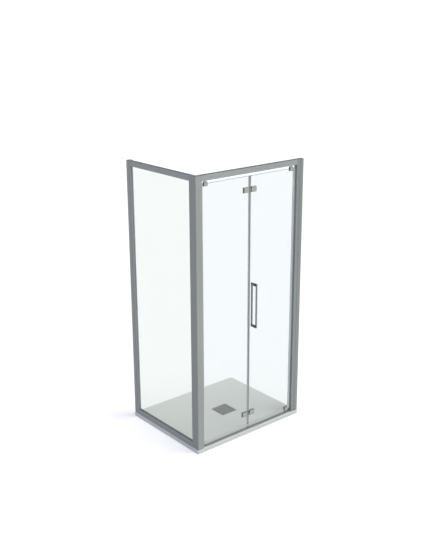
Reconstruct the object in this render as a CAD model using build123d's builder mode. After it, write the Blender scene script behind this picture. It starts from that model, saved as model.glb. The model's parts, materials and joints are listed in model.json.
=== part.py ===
from build123d import *
import os

# Corner shower enclosure: a fixed side panel and an inward folding door on a low tray.
# Millimetres. X runs along the door, Y from the door to the back wall, Z up.
# The origin is the centre of the tray's underside.

# Tray
tray_length = 1000.0
tray_width = 800.0
tray_thickness = 27.0
tray_corner = 5.0
tray_edge = 2.5
tray_rim = 70.0
tray_fall = 12.0

# Waste and drain cover
drain_offset = 78.0
drain_pocket = 146.0
drain_pocket_corner = 6.0
drain_pocket_depth = 9.0
drain_pocket_margin = 12.0
waste_radius = 45.0
cover_gap = 3.0
cover_thickness = 4.0
cover_edge = 1.0
cover_corner = 4.0
cover_foot = 12.0
cover_sink = 1.0

# Frame, common sizes
frame_set_back = 8.0
frame_height = 2000.0
frame_wall = 2.0
cap_thickness = 2.0
profile_edge = 0.8
running_gap = 0.5
seat_gap = 0.2
overrun = 1.0

# Corner post
post_face = 54.0
post_flank = 71.0
post_depth = 30.0

# Side panel
rail_depth = 23.0
rail_height = 40.0
sill_height = 42.0
side_glass_set_back = 7.0
glass_thickness = 6.0
glass_bite = 10.0
groove_play = 2.0
gasket_thickness = 1.5
gasket_bite = 8.0

# Wall jambs and wall channels
door_jamb_face = 62.0
side_jamb_face = 50.0
jamb_depth = 30.0
channel_face = 32.0
jamb_overlap = 18.0
wall_hole_radius = 3.25
wall_hole_from_end = 100.0
wall_hole_step = 600.0

# Screws that lock a jamb in its wall channel
lock_screw_pitch = 800.0
lock_screw_radius = 2.0
lock_screw_play = 0.15
lock_screw_head_radius = 4.0
lock_screw_head = 2.2
lock_screw_length = 7.0

# Header rail
header_depth = 28.0
header_height = 40.0
track_slot = 9.0
end_block_length = 34.0
end_block_height = 12.0

# Threshold
threshold_set_back = 7.0
threshold_depth = 25.0
threshold_height = 8.0
threshold_edge = 1.5

# Door leaves
door_glass_set_back = 20.0
leaf_head_gap = 23.0
leaf_foot_gap = 30.0
leaf_jamb_gap = 12.0
leaf_strike_gap = 12.0
fold_gap = 16.0
glass_corner = 3.0

# Pivots and guide
track_set_back = 19.0
pivot_from_jamb = 40.0
guide_from_post = 43.0
pin_radius = 4.0
pin_play = 0.05
pin_into_clamp = 11.0
pin_into_foot = 5.0
pin_into_header = 21.0
clamp_width = 33.0
clamp_block_width = 28.0
clamp_thickness = 8.0
clamp_bite = 18.0
clamp_rise = 8.0
clamp_head_gap = 10.0
foot_clamp_bite = 21.0
foot_clamp_drop = 7.0
foot_clamp_gap = 0.5
clamp_edge = 1.2
clamp_corner = 2.0
clamp_boss_radius = 5.8
clamp_boss_rise = 4.0
backplate_thickness = 4.0
clamp_screw_pitch = 18.0
clamp_screw_radius = 2.5
clamp_screw_play = 0.1
clamp_screw_depth = 6.0
glass_hole_play = 1.5
screw_head_radius = 4.5
screw_head = 2.4

# Bearings and slider
bearing_length = 40.0
bearing_height = 23.0
bush_radius = 5.8
bush_flange_radius = 7.0
bush_flange = 0.8
bush_floor = 0.5
slider_length = 40.0
slider_height = 18.0
slider_edge = 1.5
slider_lift = 0.3

# Fold hinges
hinge_from_end = 97.0
hinge_height = 38.0
hinge_reach = 58.0
hinge_inner = 12.0
hinge_thickness = 8.0
hinge_edge = 1.0
hinge_corner = 2.0
knuckle_height = 13.0
knuckle_radius = 5.5
knuckle_gap = 0.3
centre_lug = 5.0
hinge_pin_radius = 2.5
hinge_pin_play = 0.05
hinge_screw_pitch = 24.0

# Edge seals
seal_wall = 1.5
seal_leg = 7.0
seal_web = 1.5
fold_leg = 2.0
fold_meeting_gap = 0.8
fold_seal_inset = 0.4
edge_fin = 1.5
edge_fin_gap = 1.0
strike_seal_depth = 7.0
strike_seal_reach = 5.0
closing_gap = 1.0
drip_leg = 8.0
drip_fin = 1.2
drip_gap = 1.5
drip_clearance = 4.0

# Handle
handle_from_fold = 37.0
handle_height = 338.0
handle_bar = 10.0
handle_post = 19.0
handle_spread = 52.0
handle_edge = 2.0
handle_washer = 1.0
handle_washer_radius = 5.5
handle_screw_radius = 3.0
handle_screw_play = 0.1
handle_screw_depth = 9.0

# Places that follow from the sizes above
left = -tray_length / 2 + frame_set_back
front = -tray_width / 2 + frame_set_back
wall_right = tray_length / 2
wall_back = tray_width / 2
base = tray_thickness
top = base + frame_height
under_cap = top - cap_thickness

door_left = left + post_face
door_right = wall_right - door_jamb_face
header_under = top - header_height
track_y = front + track_set_back
threshold_front = front + threshold_set_back
threshold_top = base + threshold_height

panel_front = front + post_flank
panel_back = wall_back - side_jamb_face
side_glass_x = left + side_glass_set_back
groove_left = side_glass_x - gasket_thickness
groove_right = side_glass_x + glass_thickness + gasket_thickness
groove_depth = glass_bite + groove_play
sill_top = base + sill_height
rail_under = top - rail_height

pivot_x = door_right - pivot_from_jamb
guide_x = door_left + guide_from_post
fold_x = (pivot_x + guide_x) / 2
glass_front = front + door_glass_set_back
glass_back = glass_front + glass_thickness
fold_y = glass_front - hinge_thickness
leaf_bottom = base + leaf_foot_gap
leaf_top = header_under - leaf_head_gap
pivot_leaf_left = fold_x + fold_gap / 2
pivot_leaf_right = door_right - leaf_jamb_gap
sliding_leaf_left = door_left + leaf_strike_gap
sliding_leaf_right = fold_x - fold_gap / 2
lower_hinge_z = leaf_bottom + hinge_from_end
upper_hinge_z = leaf_top - hinge_from_end

clamp_top = header_under - clamp_head_gap
clamp_front = glass_front - clamp_thickness
backplate_face = glass_back + backplate_thickness
channel_slack = seat_gap + frame_wall
track_floor = header_under + frame_wall
track_front = front + frame_wall
track_back = front + header_depth - frame_wall

STANDING = (Align.CENTER, Align.CENTER, Align.MIN)
FRONT_TO_BACK = (-90, 0, 0)
LEFT_TO_RIGHT = (0, 90, 0)

pieces = {}


def level(z):
    """A plane that looks up, at height z."""
    return Plane.XY.offset(z)


def section(x):
    """A plane across the door's length, whose own axes are Y and Z."""
    return Plane.YZ.offset(x)


def facing(y):
    """A plane that faces the front, whose own axes are X and Z."""
    return Plane.XZ.offset(-y)


def patch(low_a, high_a, low_b, high_b, mode=Mode.ADD):
    """A rectangle between two pairs of sides, in the sketch in hand."""
    with Locations(((low_a + high_a) / 2, (low_b + high_b) / 2)):
        Rectangle(high_a - low_a, high_b - low_b, mode=mode)


def bar(x_low, x_high, y_low, y_high, z_low, z_high, mode=Mode.ADD):
    """A square-cornered bar between six sides, in the part in hand."""
    with Locations(((x_low + x_high) / 2, (y_low + y_high) / 2, z_low)):
        Box(x_high - x_low, y_high - y_low, z_high - z_low, align=STANDING, mode=mode)


def post_bar(x, y, radius, z_low, z_high, mode=Mode.ADD):
    """A round bar that stands on end."""
    with Locations((x, y, z_low)):
        Cylinder(radius, z_high - z_low, align=STANDING, mode=mode)


def cross_bars(places, radius, y_low, y_high, mode=Mode.ADD):
    """Round bars that run from front to back, at places in X and Z."""
    with Locations(*[(x, y_low, z) for x, z in places]):
        Cylinder(radius, y_high - y_low, rotation=FRONT_TO_BACK, align=STANDING, mode=mode)


def long_bars(places, radius, x_low, x_high, mode=Mode.ADD):
    """Round bars that run along the door, at places in Y and Z."""
    with Locations(*[(x_low, y, z) for y, z in places]):
        Cylinder(radius, x_high - x_low, rotation=LEFT_TO_RIGHT, align=STANDING, mode=mode)


def keep(name, part):
    """Labels a finished piece and writes it out."""
    part.label = name
    pieces[name] = part
    export_step(part, f"parts/{name}.step")


def lock_screw_heights():
    """Heights of the screws that lock a jamb in its wall channel."""
    middle = base + frame_height / 2
    return [middle - lock_screw_pitch, middle, middle + lock_screw_pitch]


def wall_hole_heights():
    """Heights of the fixing holes in a wall channel, two from each end."""
    offsets = (wall_hole_from_end, wall_hole_from_end + wall_hole_step)
    return [z for step in offsets for z in (base + step, top - step)]


def make_tray():
    """The tray: flat rim, four faces that fall to the waste, a pocket for the cover."""
    drain_level = base - tray_fall
    pocket_floor = drain_level - drain_pocket_depth
    fall_edge = drain_pocket + 2 * drain_pocket_margin
    with BuildPart() as shower_tray:
        with BuildSketch():
            RectangleRounded(tray_length, tray_width, tray_corner)
        extrude(amount=tray_thickness)
        fillet(shower_tray.faces().sort_by(Axis.Z)[-1].edges(), radius=tray_edge)
        with BuildSketch(level(base)):
            Rectangle(tray_length - 2 * tray_rim, tray_width - 2 * tray_rim)
        with BuildSketch(level(drain_level)):
            with Locations((drain_offset, 0)):
                Rectangle(fall_edge, fall_edge)
        loft(ruled=True, mode=Mode.SUBTRACT)
        with BuildSketch(level(pocket_floor)):
            with Locations((drain_offset, 0)):
                RectangleRounded(drain_pocket, drain_pocket, drain_pocket_corner)
        extrude(amount=tray_thickness, mode=Mode.SUBTRACT)
        post_bar(drain_offset, 0, waste_radius, 0, tray_thickness, mode=Mode.SUBTRACT)
    keep("shower_tray", shower_tray.part)

    cover_size = drain_pocket - 2 * cover_gap
    cover_top = drain_level - cover_sink
    cover_under = cover_top - cover_thickness
    foot_pitch = cover_size - 2 * cover_foot
    with BuildPart() as drain_cover:
        with BuildSketch(level(cover_under)):
            with Locations((drain_offset, 0)):
                RectangleRounded(cover_size, cover_size, cover_corner)
        extrude(amount=cover_thickness)
        fillet(drain_cover.faces().sort_by(Axis.Z)[-1].edges(), radius=cover_edge)
        with BuildSketch(level(pocket_floor)):
            with Locations((drain_offset, 0)):
                with GridLocations(foot_pitch, foot_pitch, 2, 2):
                    Rectangle(cover_foot, cover_foot)
        extrude(amount=cover_under - pocket_floor)
    keep("drain_cover", drain_cover.part)


def post_outline():
    """The post's L outline in plan."""
    patch(left, door_left, front, front + post_depth)
    patch(left, left + rail_depth, front, panel_front)


def make_post():
    """The corner post: a hollow L with a glazing groove, its cap and the strike seal."""
    post_back = front + post_depth
    groove_end = panel_front - groove_depth
    with BuildPart() as corner_post:
        with BuildSketch(level(base)) as plan:
            post_outline()
            fillet(plan.vertices(), radius=profile_edge)
            patch(left + frame_wall, door_left - frame_wall, front + frame_wall,
                  post_back - frame_wall, mode=Mode.SUBTRACT)
            patch(left + frame_wall, left + rail_depth - frame_wall, post_back,
                  groove_end - frame_wall, mode=Mode.SUBTRACT)
            patch(groove_left, groove_right, groove_end, panel_front + overrun,
                  mode=Mode.SUBTRACT)
        extrude(amount=frame_height - cap_thickness)
    keep("corner_post", corner_post.part)

    with BuildPart() as post_cap:
        with BuildSketch(level(under_cap)) as plan:
            post_outline()
            fillet(plan.vertices(), radius=profile_edge)
        extrude(amount=cap_thickness)
    keep("post_cap", post_cap.part)

    with BuildPart() as strike_seal:
        bar(door_left, door_left + strike_seal_reach, glass_front,
            glass_front + strike_seal_depth, threshold_top, header_under)
    keep("strike_seal", strike_seal.part)


def make_side_panel():
    """The fixed panel: rails, glass, gaskets and the blocks inside the rails."""
    rail_length = panel_back - panel_front
    with BuildPart() as side_top_rail:
        with BuildSketch(facing(panel_back)) as side_view:
            patch(left, left + rail_depth, rail_under, top)
            fillet(side_view.vertices(), radius=profile_edge)
            patch(left + frame_wall, left + rail_depth - frame_wall,
                  rail_under + groove_depth + frame_wall, top - frame_wall,
                  mode=Mode.SUBTRACT)
            patch(groove_left, groove_right, rail_under - overrun,
                  rail_under + groove_depth, mode=Mode.SUBTRACT)
        extrude(amount=rail_length)
    keep("side_top_rail", side_top_rail.part)

    with BuildPart() as side_bottom_rail:
        with BuildSketch(facing(panel_back)) as side_view:
            patch(left, left + rail_depth, base, sill_top)
            fillet(side_view.vertices(), radius=profile_edge)
            patch(left + frame_wall, left + rail_depth - frame_wall, base + frame_wall,
                  sill_top - groove_depth - frame_wall, mode=Mode.SUBTRACT)
            patch(groove_left, groove_right, sill_top - groove_depth,
                  sill_top + overrun, mode=Mode.SUBTRACT)
        extrude(amount=rail_length)
    keep("side_bottom_rail", side_bottom_rail.part)

    with BuildPart() as rail_end_blocks:
        spans = (
            (base + frame_wall, sill_top - groove_depth - frame_wall),
            (rail_under + groove_depth + frame_wall, top - frame_wall),
        )
        for low, high in spans:
            for start in (panel_front, panel_back - end_block_length):
                bar(left + frame_wall + seat_gap, left + rail_depth - frame_wall - seat_gap,
                    start, start + end_block_length, low, high)
    keep("rail_end_blocks", rail_end_blocks.part)

    with BuildPart() as side_glass:
        bar(side_glass_x, side_glass_x + glass_thickness, panel_front - glass_bite,
            panel_back + glass_bite, sill_top - glass_bite, rail_under + glass_bite)
    keep("side_glass", side_glass.part)

    gaskets = (
        ("outer_glazing_gasket", groove_left),
        ("inner_glazing_gasket", side_glass_x + glass_thickness),
    )
    for name, start in gaskets:
        with BuildPart() as gasket:
            with BuildSketch(section(start)):
                patch(panel_front - gasket_bite, panel_back + gasket_bite,
                      sill_top - gasket_bite, rail_under + gasket_bite)
                patch(panel_front, panel_back, sill_top, rail_under, mode=Mode.SUBTRACT)
            extrude(amount=gasket_thickness)
        keep(name, gasket.part)


def make_door_jamb():
    """The door's wall side: a jamb that slides in a wall channel, and their cap."""
    mouth = wall_right - channel_face
    jamb_end = mouth + jamb_overlap
    jamb_back = front + jamb_depth
    lock_x = mouth + jamb_overlap / 2
    locks = [(lock_x, z) for z in lock_screw_heights()]
    with BuildPart() as door_jamb:
        with BuildSketch(level(base)):
            patch(door_right, jamb_end, front, jamb_back)
            patch(door_right + frame_wall, jamb_end + overrun, front + frame_wall,
                  jamb_back - frame_wall, mode=Mode.SUBTRACT)
        extrude(amount=frame_height - cap_thickness)
        fillet(door_jamb.faces().sort_by(Axis.X)[0].edges().filter_by(Axis.Z),
               radius=profile_edge)
        cross_bars(locks, lock_screw_radius + lock_screw_play, jamb_back - frame_wall - overrun,
                   jamb_back + overrun, mode=Mode.SUBTRACT)
    keep("door_jamb_profile", door_jamb.part)

    wall_holes = [(front + jamb_depth / 2, z) for z in wall_hole_heights()]
    with BuildPart() as door_channel:
        with BuildSketch(level(base)):
            patch(mouth, wall_right, front - channel_slack, jamb_back + channel_slack)
            patch(mouth - overrun, wall_right - frame_wall, front - seat_gap,
                  jamb_back + seat_gap, mode=Mode.SUBTRACT)
        extrude(amount=frame_height - cap_thickness)
        cross_bars(locks, lock_screw_radius + lock_screw_play, jamb_back,
                   jamb_back + channel_slack + overrun, mode=Mode.SUBTRACT)
        long_bars(wall_holes, wall_hole_radius, wall_right - frame_wall - overrun,
                  wall_right + overrun, mode=Mode.SUBTRACT)
    keep("door_wall_channel", door_channel.part)

    with BuildPart() as door_cap:
        with BuildSketch(level(under_cap)):
            patch(door_right, mouth, front, jamb_back)
            patch(mouth, wall_right, front - channel_slack, jamb_back + channel_slack)
        extrude(amount=cap_thickness)
    keep("door_jamb_cap", door_cap.part)

    head_seat = jamb_back + channel_slack
    with BuildPart() as door_lock_screws:
        cross_bars(locks, lock_screw_head_radius, head_seat, head_seat + lock_screw_head)
        cross_bars(locks, lock_screw_radius, head_seat - lock_screw_length, head_seat)
    keep("door_lock_screws", door_lock_screws.part)


def make_side_jamb():
    """The side panel's wall side: a slim stile with a glazing groove, whose deeper
    tongue slides in the same channel as the door's, and their cap."""
    mouth = wall_back - channel_face
    tongue_start = mouth - frame_wall
    jamb_end = mouth + jamb_overlap
    jamb_right = left + jamb_depth
    stile_right = left + rail_depth
    groove_end = panel_back + groove_depth
    lock_y = mouth + jamb_overlap / 2
    locks = [(lock_y, z) for z in lock_screw_heights()]
    with BuildPart() as side_jamb:
        with BuildSketch(level(base)):
            patch(left, stile_right, panel_back, mouth)
            patch(left, jamb_right, tongue_start, jamb_end)
            patch(left + frame_wall, stile_right - frame_wall, groove_end + frame_wall,
                  jamb_end + overrun, mode=Mode.SUBTRACT)
            patch(left + frame_wall, jamb_right - frame_wall, mouth, jamb_end + overrun,
                  mode=Mode.SUBTRACT)
            patch(groove_right + frame_wall, stile_right - frame_wall,
                  panel_back + frame_wall, groove_end, mode=Mode.SUBTRACT)
            patch(groove_left, groove_right, panel_back - overrun, groove_end,
                  mode=Mode.SUBTRACT)
        extrude(amount=frame_height - cap_thickness)
        long_bars(locks, lock_screw_radius + lock_screw_play, jamb_right - frame_wall - overrun,
                  jamb_right + overrun, mode=Mode.SUBTRACT)
    keep("side_jamb_profile", side_jamb.part)

    wall_holes = [(left + jamb_depth / 2, z) for z in wall_hole_heights()]
    with BuildPart() as side_channel:
        with BuildSketch(level(base)):
            patch(left - channel_slack, jamb_right + channel_slack, mouth, wall_back)
            patch(left - seat_gap, jamb_right + seat_gap, mouth - overrun,
                  wall_back - frame_wall, mode=Mode.SUBTRACT)
        extrude(amount=frame_height - cap_thickness)
        long_bars(locks, lock_screw_radius + lock_screw_play, jamb_right,
                  jamb_right + channel_slack + overrun, mode=Mode.SUBTRACT)
        cross_bars(wall_holes, wall_hole_radius, wall_back - frame_wall - overrun,
                   wall_back + overrun, mode=Mode.SUBTRACT)
    keep("side_wall_channel", side_channel.part)

    with BuildPart() as side_cap:
        with BuildSketch(level(under_cap)):
            patch(left, stile_right, panel_back, mouth)
            patch(left - channel_slack, jamb_right + channel_slack, tongue_start, wall_back)
        extrude(amount=cap_thickness)
    keep("side_jamb_cap", side_cap.part)

    head_seat = jamb_right + channel_slack
    with BuildPart() as side_lock_screws:
        long_bars(locks, lock_screw_head_radius, head_seat, head_seat + lock_screw_head)
        long_bars(locks, lock_screw_radius, head_seat - lock_screw_length, head_seat)
    keep("side_lock_screws", side_lock_screws.part)


def make_header():
    """The header channel with its slot, the blocks in its ends, and the top bearing."""
    with BuildPart() as header_rail:
        with BuildSketch(section(door_left)) as side_view:
            patch(front, front + header_depth, header_under, top)
            fillet(side_view.vertices(), radius=profile_edge)
            patch(track_front, track_back, track_floor, top - frame_wall, mode=Mode.SUBTRACT)
            patch(track_y - track_slot / 2, track_y + track_slot / 2,
                  header_under - overrun, track_floor + overrun, mode=Mode.SUBTRACT)
        extrude(amount=door_right - door_left)
    keep("header_rail", header_rail.part)

    with BuildPart() as header_end_blocks:
        for start in (door_left, door_right - end_block_length):
            bar(start, start + end_block_length, track_front + seat_gap, track_back - seat_gap,
                top - frame_wall - end_block_height, top - frame_wall)
    keep("header_end_blocks", header_end_blocks.part)

    bearing_low = pivot_x - bearing_length / 2
    with BuildPart() as top_bearing:
        bar(bearing_low, bearing_low + bearing_length, track_front + seat_gap,
            track_back - seat_gap, track_floor, track_floor + bearing_height)
        post_bar(pivot_x, track_y, pin_radius + pin_play, track_floor,
                 track_floor + bearing_height, mode=Mode.SUBTRACT)
    keep("top_pivot_bearing", top_bearing.part)

    slider_start = guide_x - slider_length / 2
    slider_under = track_floor + slider_lift
    slider_top = slider_under + slider_height
    with BuildPart() as guide_slider:
        bar(slider_start, slider_start + slider_length, track_front + running_gap,
            track_back - running_gap, slider_under, slider_top)
        fillet(guide_slider.edges().filter_by(Axis.Z), radius=slider_edge)
        post_bar(guide_x, track_y, pin_radius + pin_play, slider_under, slider_top,
                 mode=Mode.SUBTRACT)
    keep("guide_slider", guide_slider.part)


def make_threshold():
    """The low strip under the door, with the bush of the bottom pivot."""
    bush_hole = bush_radius + seat_gap / 2
    with BuildPart() as threshold_strip:
        with BuildSketch(section(door_left)):
            patch(threshold_front, threshold_front + threshold_depth, base, threshold_top)
        extrude(amount=door_right - door_left)
        front_edge = threshold_strip.faces().sort_by(Axis.Y)[0].edges().sort_by(Axis.Z)[-1]
        fillet(front_edge, radius=threshold_edge)
        post_bar(pivot_x, track_y, bush_hole, base, threshold_top, mode=Mode.SUBTRACT)
    keep("threshold_strip", threshold_strip.part)

    with BuildPart() as pivot_bush:
        post_bar(pivot_x, track_y, bush_radius, base, threshold_top)
        post_bar(pivot_x, track_y, bush_flange_radius, threshold_top,
                 threshold_top + bush_flange)
        post_bar(pivot_x, track_y, pin_radius + pin_play, base + bush_floor,
                 threshold_top + bush_flange, mode=Mode.SUBTRACT)
    keep("bottom_pivot_bush", pivot_bush.part)


def make_clamp(name, x, face, grip, block, boss, bore):
    """A corner clamp on a leaf, and its plate inside the glass.

    Each span is a pair of heights: face is the plate in front of the glass, grip the
    part of it that lies on the glass, block what reaches past the glass edge, boss the
    round part towards the pin's seat and bore the pin's hole.
    """
    half = clamp_width / 2
    half_block = clamp_block_width / 2
    screw_z = sum(grip) / 2
    screws = [(x + side * clamp_screw_pitch / 2, screw_z) for side in (-1, 1)]
    hole = clamp_screw_radius + clamp_screw_play
    with BuildPart() as clamp:
        bar(x - half, x + half, clamp_front, glass_front, *face)
        fillet(clamp.edges().filter_by(Axis.Y), radius=clamp_corner)
        fillet(clamp.faces().sort_by(Axis.Y)[0].edges(), radius=clamp_edge)
        bar(x - half_block, x + half_block, clamp_front + clamp_edge, backplate_face, *block)
        post_bar(x, track_y, clamp_boss_radius, *boss)
        post_bar(x, track_y, pin_radius + pin_play, *bore, mode=Mode.SUBTRACT)
        cross_bars(screws, hole, glass_front - clamp_screw_depth, glass_front + overrun,
                   mode=Mode.SUBTRACT)
    keep(name, clamp.part)

    with BuildPart() as plate:
        bar(x - half, x + half, glass_back, backplate_face, *grip)
        fillet(plate.faces().sort_by(Axis.Y)[-1].edges(), radius=clamp_edge)
        cross_bars(screws, hole, glass_back - overrun, backplate_face + overrun,
                   mode=Mode.SUBTRACT)
    keep(name + "_plate", plate.part)
    return screws


def make_glass_screws(name, places):
    """Round-headed screws through the glass, driven from inside the enclosure."""
    with BuildPart() as screws:
        cross_bars(places, screw_head_radius, backplate_face, backplate_face + screw_head)
        cross_bars(places, clamp_screw_radius, glass_front - clamp_screw_depth,
                   backplate_face)
    keep(name, screws.part)


def make_pin(name, x, z_low, z_high):
    """A plain pin on the track's centre line."""
    with BuildPart() as pin:
        post_bar(x, track_y, pin_radius, z_low, z_high)
    keep(name, pin.part)


def hinge_screw_places(side):
    """Places of the hinge screws on one leaf: the pivot leaf's side is 1, the other's -1."""
    middle = fold_x + side * (hinge_inner + hinge_reach) / 2
    offsets = (-hinge_screw_pitch / 2, hinge_screw_pitch / 2)
    return [(middle + step, z) for z in (lower_hinge_z, upper_hinge_z) for step in offsets]


def make_leaf_glass(name, low, high, hole_places, holes_radius, handle_places=()):
    """One glass leaf with its drilled holes."""
    with BuildPart() as glass:
        with BuildSketch(facing(glass_back)):
            with Locations(((low + high) / 2, (leaf_bottom + leaf_top) / 2)):
                RectangleRounded(high - low, leaf_top - leaf_bottom, glass_corner)
            with Locations(*hole_places):
                Circle(holes_radius, mode=Mode.SUBTRACT)
            for place in handle_places:
                with Locations(place):
                    Circle(handle_screw_radius + glass_hole_play, mode=Mode.SUBTRACT)
        extrude(amount=glass_thickness)
    keep(name, glass.part)


def make_hinge_plate(name, side, z):
    """A hinge's outer plate, with its lugs at the fold: one in the middle or two outside it."""
    near = fold_x + side * hinge_inner
    far = fold_x + side * hinge_reach
    half = hinge_height / 2
    outer_low = centre_lug / 2 + knuckle_gap
    spans = [(-centre_lug / 2, centre_lug / 2)]
    if side < 0:
        spans = [(-knuckle_height / 2, -outer_low), (outer_low, knuckle_height / 2)]
    screws = [place for place in hinge_screw_places(side) if place[1] == z]
    with BuildPart() as plate:
        bar(min(near, far), max(near, far), fold_y, glass_front, z - half, z + half)
        fillet(plate.edges().filter_by(Axis.Y), radius=hinge_corner)
        fillet(plate.faces().sort_by(Axis.Y)[0].edges(), radius=hinge_edge)
        for low, high in spans:
            bar(min(fold_x, near + side * hinge_edge), max(fold_x, near + side * hinge_edge),
                fold_y, fold_y + knuckle_radius, z + low, z + high)
            post_bar(fold_x, fold_y, knuckle_radius, z + low, z + high)
        post_bar(fold_x, fold_y, hinge_pin_radius + hinge_pin_play,
                 z - half, z + half, mode=Mode.SUBTRACT)
        cross_bars(screws, clamp_screw_radius + clamp_screw_play,
                   glass_front - clamp_screw_depth, glass_front + overrun, mode=Mode.SUBTRACT)
    keep(name, plate.part)


def make_hinge_backplates(name, side):
    """The two plates inside the glass of one leaf."""
    near = fold_x + side * hinge_inner
    far = fold_x + side * hinge_reach
    half = hinge_height / 2
    with BuildPart() as plates:
        for z in (lower_hinge_z, upper_hinge_z):
            bar(min(near, far), max(near, far), glass_back, backplate_face, z - half, z + half)
        cross_bars(hinge_screw_places(side), clamp_screw_radius + clamp_screw_play,
                   glass_back - overrun, backplate_face + overrun, mode=Mode.SUBTRACT)
    keep(name, plates.part)


def make_hinge_pin(name, z):
    """A hinge pin, as long as the knuckle is high."""
    with BuildPart() as pin:
        post_bar(fold_x, fold_y, hinge_pin_radius, z - knuckle_height / 2,
                 z + knuckle_height / 2)
    keep(name, pin.part)


def make_fold_seal(name, side):
    """A leaf's fold-edge seal: a bar in the gap and short legs over the glass."""
    meeting = fold_x + side * fold_meeting_gap / 2
    edge = fold_x + side * fold_gap / 2
    neck = edge - side * seal_web
    leg_end = edge + side * fold_leg
    leg_cut = leg_end + side * overrun
    half_cut = hinge_height / 2 + running_gap
    outside = (glass_front - seal_wall - overrun, glass_front)
    inside = (glass_back, glass_back + seal_wall + overrun)
    with BuildPart() as seal:
        with BuildSketch(level(leaf_bottom)):
            patch(min(meeting, edge), max(meeting, edge), glass_front + fold_seal_inset,
                  glass_back - fold_seal_inset)
            patch(min(neck, leg_end), max(neck, leg_end), glass_front - seal_wall,
                  glass_back + seal_wall)
            patch(min(edge, leg_cut), max(edge, leg_cut), glass_front, glass_back,
                  mode=Mode.SUBTRACT)
        extrude(amount=leaf_top - leaf_bottom)
        for z in (lower_hinge_z, upper_hinge_z):
            for near, far in (outside, inside):
                bar(min(meeting, leg_cut), max(meeting, leg_cut), near, far, z - half_cut,
                    z + half_cut, mode=Mode.SUBTRACT)
    keep(name, seal.part)


def make_upright_seals():
    """The light seals on the jamb edge of one leaf and the closing edge of the other."""
    fin_end = door_right - edge_fin_gap
    web_end = pivot_leaf_right + seal_web
    with BuildPart() as edge_seal:
        with BuildSketch(level(leaf_bottom)):
            patch(pivot_leaf_right - seal_leg, web_end, glass_front - seal_wall,
                  glass_back + seal_wall)
            patch(web_end, fin_end, glass_front - edge_fin, glass_front)
            patch(pivot_leaf_right - seal_leg - overrun, pivot_leaf_right, glass_front,
                  glass_back, mode=Mode.SUBTRACT)
        extrude(amount=leaf_top - leaf_bottom)
    keep("jamb_edge_seal", edge_seal.part)

    meeting = door_left + strike_seal_reach + closing_gap
    with BuildPart() as closing_seal:
        with BuildSketch(level(leaf_bottom)):
            patch(meeting, sliding_leaf_left + seal_leg, glass_front - seal_wall,
                  glass_back + seal_wall)
            patch(sliding_leaf_left, sliding_leaf_left + seal_leg + overrun, glass_front,
                  glass_back, mode=Mode.SUBTRACT)
        extrude(amount=leaf_top - leaf_bottom)
    keep("closing_edge_seal", closing_seal.part)


def make_drip_seal(name, low, high):
    """The seal under a leaf: two legs over the glass and a fin down to the threshold."""
    middle = (glass_front + glass_back) / 2
    with BuildPart() as seal:
        with BuildSketch(section(low)):
            patch(glass_front - seal_wall, glass_back + seal_wall, leaf_bottom - seal_web,
                  leaf_bottom + drip_leg)
            patch(middle - drip_fin / 2, middle + drip_fin / 2, threshold_top + drip_gap,
                  leaf_bottom - seal_web)
            patch(glass_front, glass_back, leaf_bottom, leaf_bottom + drip_leg + overrun,
                  mode=Mode.SUBTRACT)
        extrude(amount=high - low)
    keep(name, seal.part)


def handle_places():
    """Places in X and Z of the two screws that hold the handle."""
    middle = (leaf_bottom + leaf_top) / 2
    reach = (handle_height - handle_post) / 2
    return [(fold_x + handle_from_fold, middle + side * reach) for side in (-1, 1)]


def make_handle():
    """The handle: a grip with two posts outside, a bar inside, screws and washers."""
    x = fold_x + handle_from_fold
    middle = (leaf_bottom + leaf_top) / 2
    half_height = handle_height / 2
    half_bar = handle_bar / 2
    post_end = glass_front - handle_washer
    inner_front = glass_back + handle_washer
    inner_back = inner_front + handle_bar
    grip_front = inner_front - handle_spread
    grip_back = grip_front + handle_bar
    places = handle_places()
    with BuildPart() as grip:
        with BuildSketch(section(x - half_bar)) as side_view:
            patch(grip_front, post_end, middle - half_height, middle + half_height)
            patch(grip_back, post_end + overrun, middle - half_height + handle_post,
                  middle + half_height - handle_post, mode=Mode.SUBTRACT)
            corners = side_view.vertices().group_by(Axis.X)[0]
            fillet(corners, radius=handle_edge)
        extrude(amount=handle_bar)
        cross_bars(places, handle_screw_radius + handle_screw_play,
                   post_end - handle_screw_depth, post_end + overrun, mode=Mode.SUBTRACT)
    keep("handle_grip", grip.part)

    with BuildPart() as inner_bar:
        bar(x - half_bar, x + half_bar, inner_front, inner_back, middle - half_height,
            middle + half_height)
        fillet(inner_bar.faces().sort_by(Axis.Y)[-1].edges(), radius=handle_edge)
        cross_bars(places, handle_screw_radius + handle_screw_play, inner_front - overrun,
                   inner_back + overrun, mode=Mode.SUBTRACT)
    keep("handle_inner_bar", inner_bar.part)

    with BuildPart() as screws:
        cross_bars(places, handle_screw_radius, post_end - handle_screw_depth, inner_back)
    keep("handle_screws", screws.part)

    with BuildPart() as washers:
        for y_low, y_high in ((post_end, glass_front), (glass_back, inner_front)):
            cross_bars(places, handle_washer_radius, y_low, y_high)
            cross_bars(places, handle_screw_radius + handle_screw_play, y_low, y_high,
                       mode=Mode.SUBTRACT)
    keep("handle_washers", washers.part)


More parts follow.
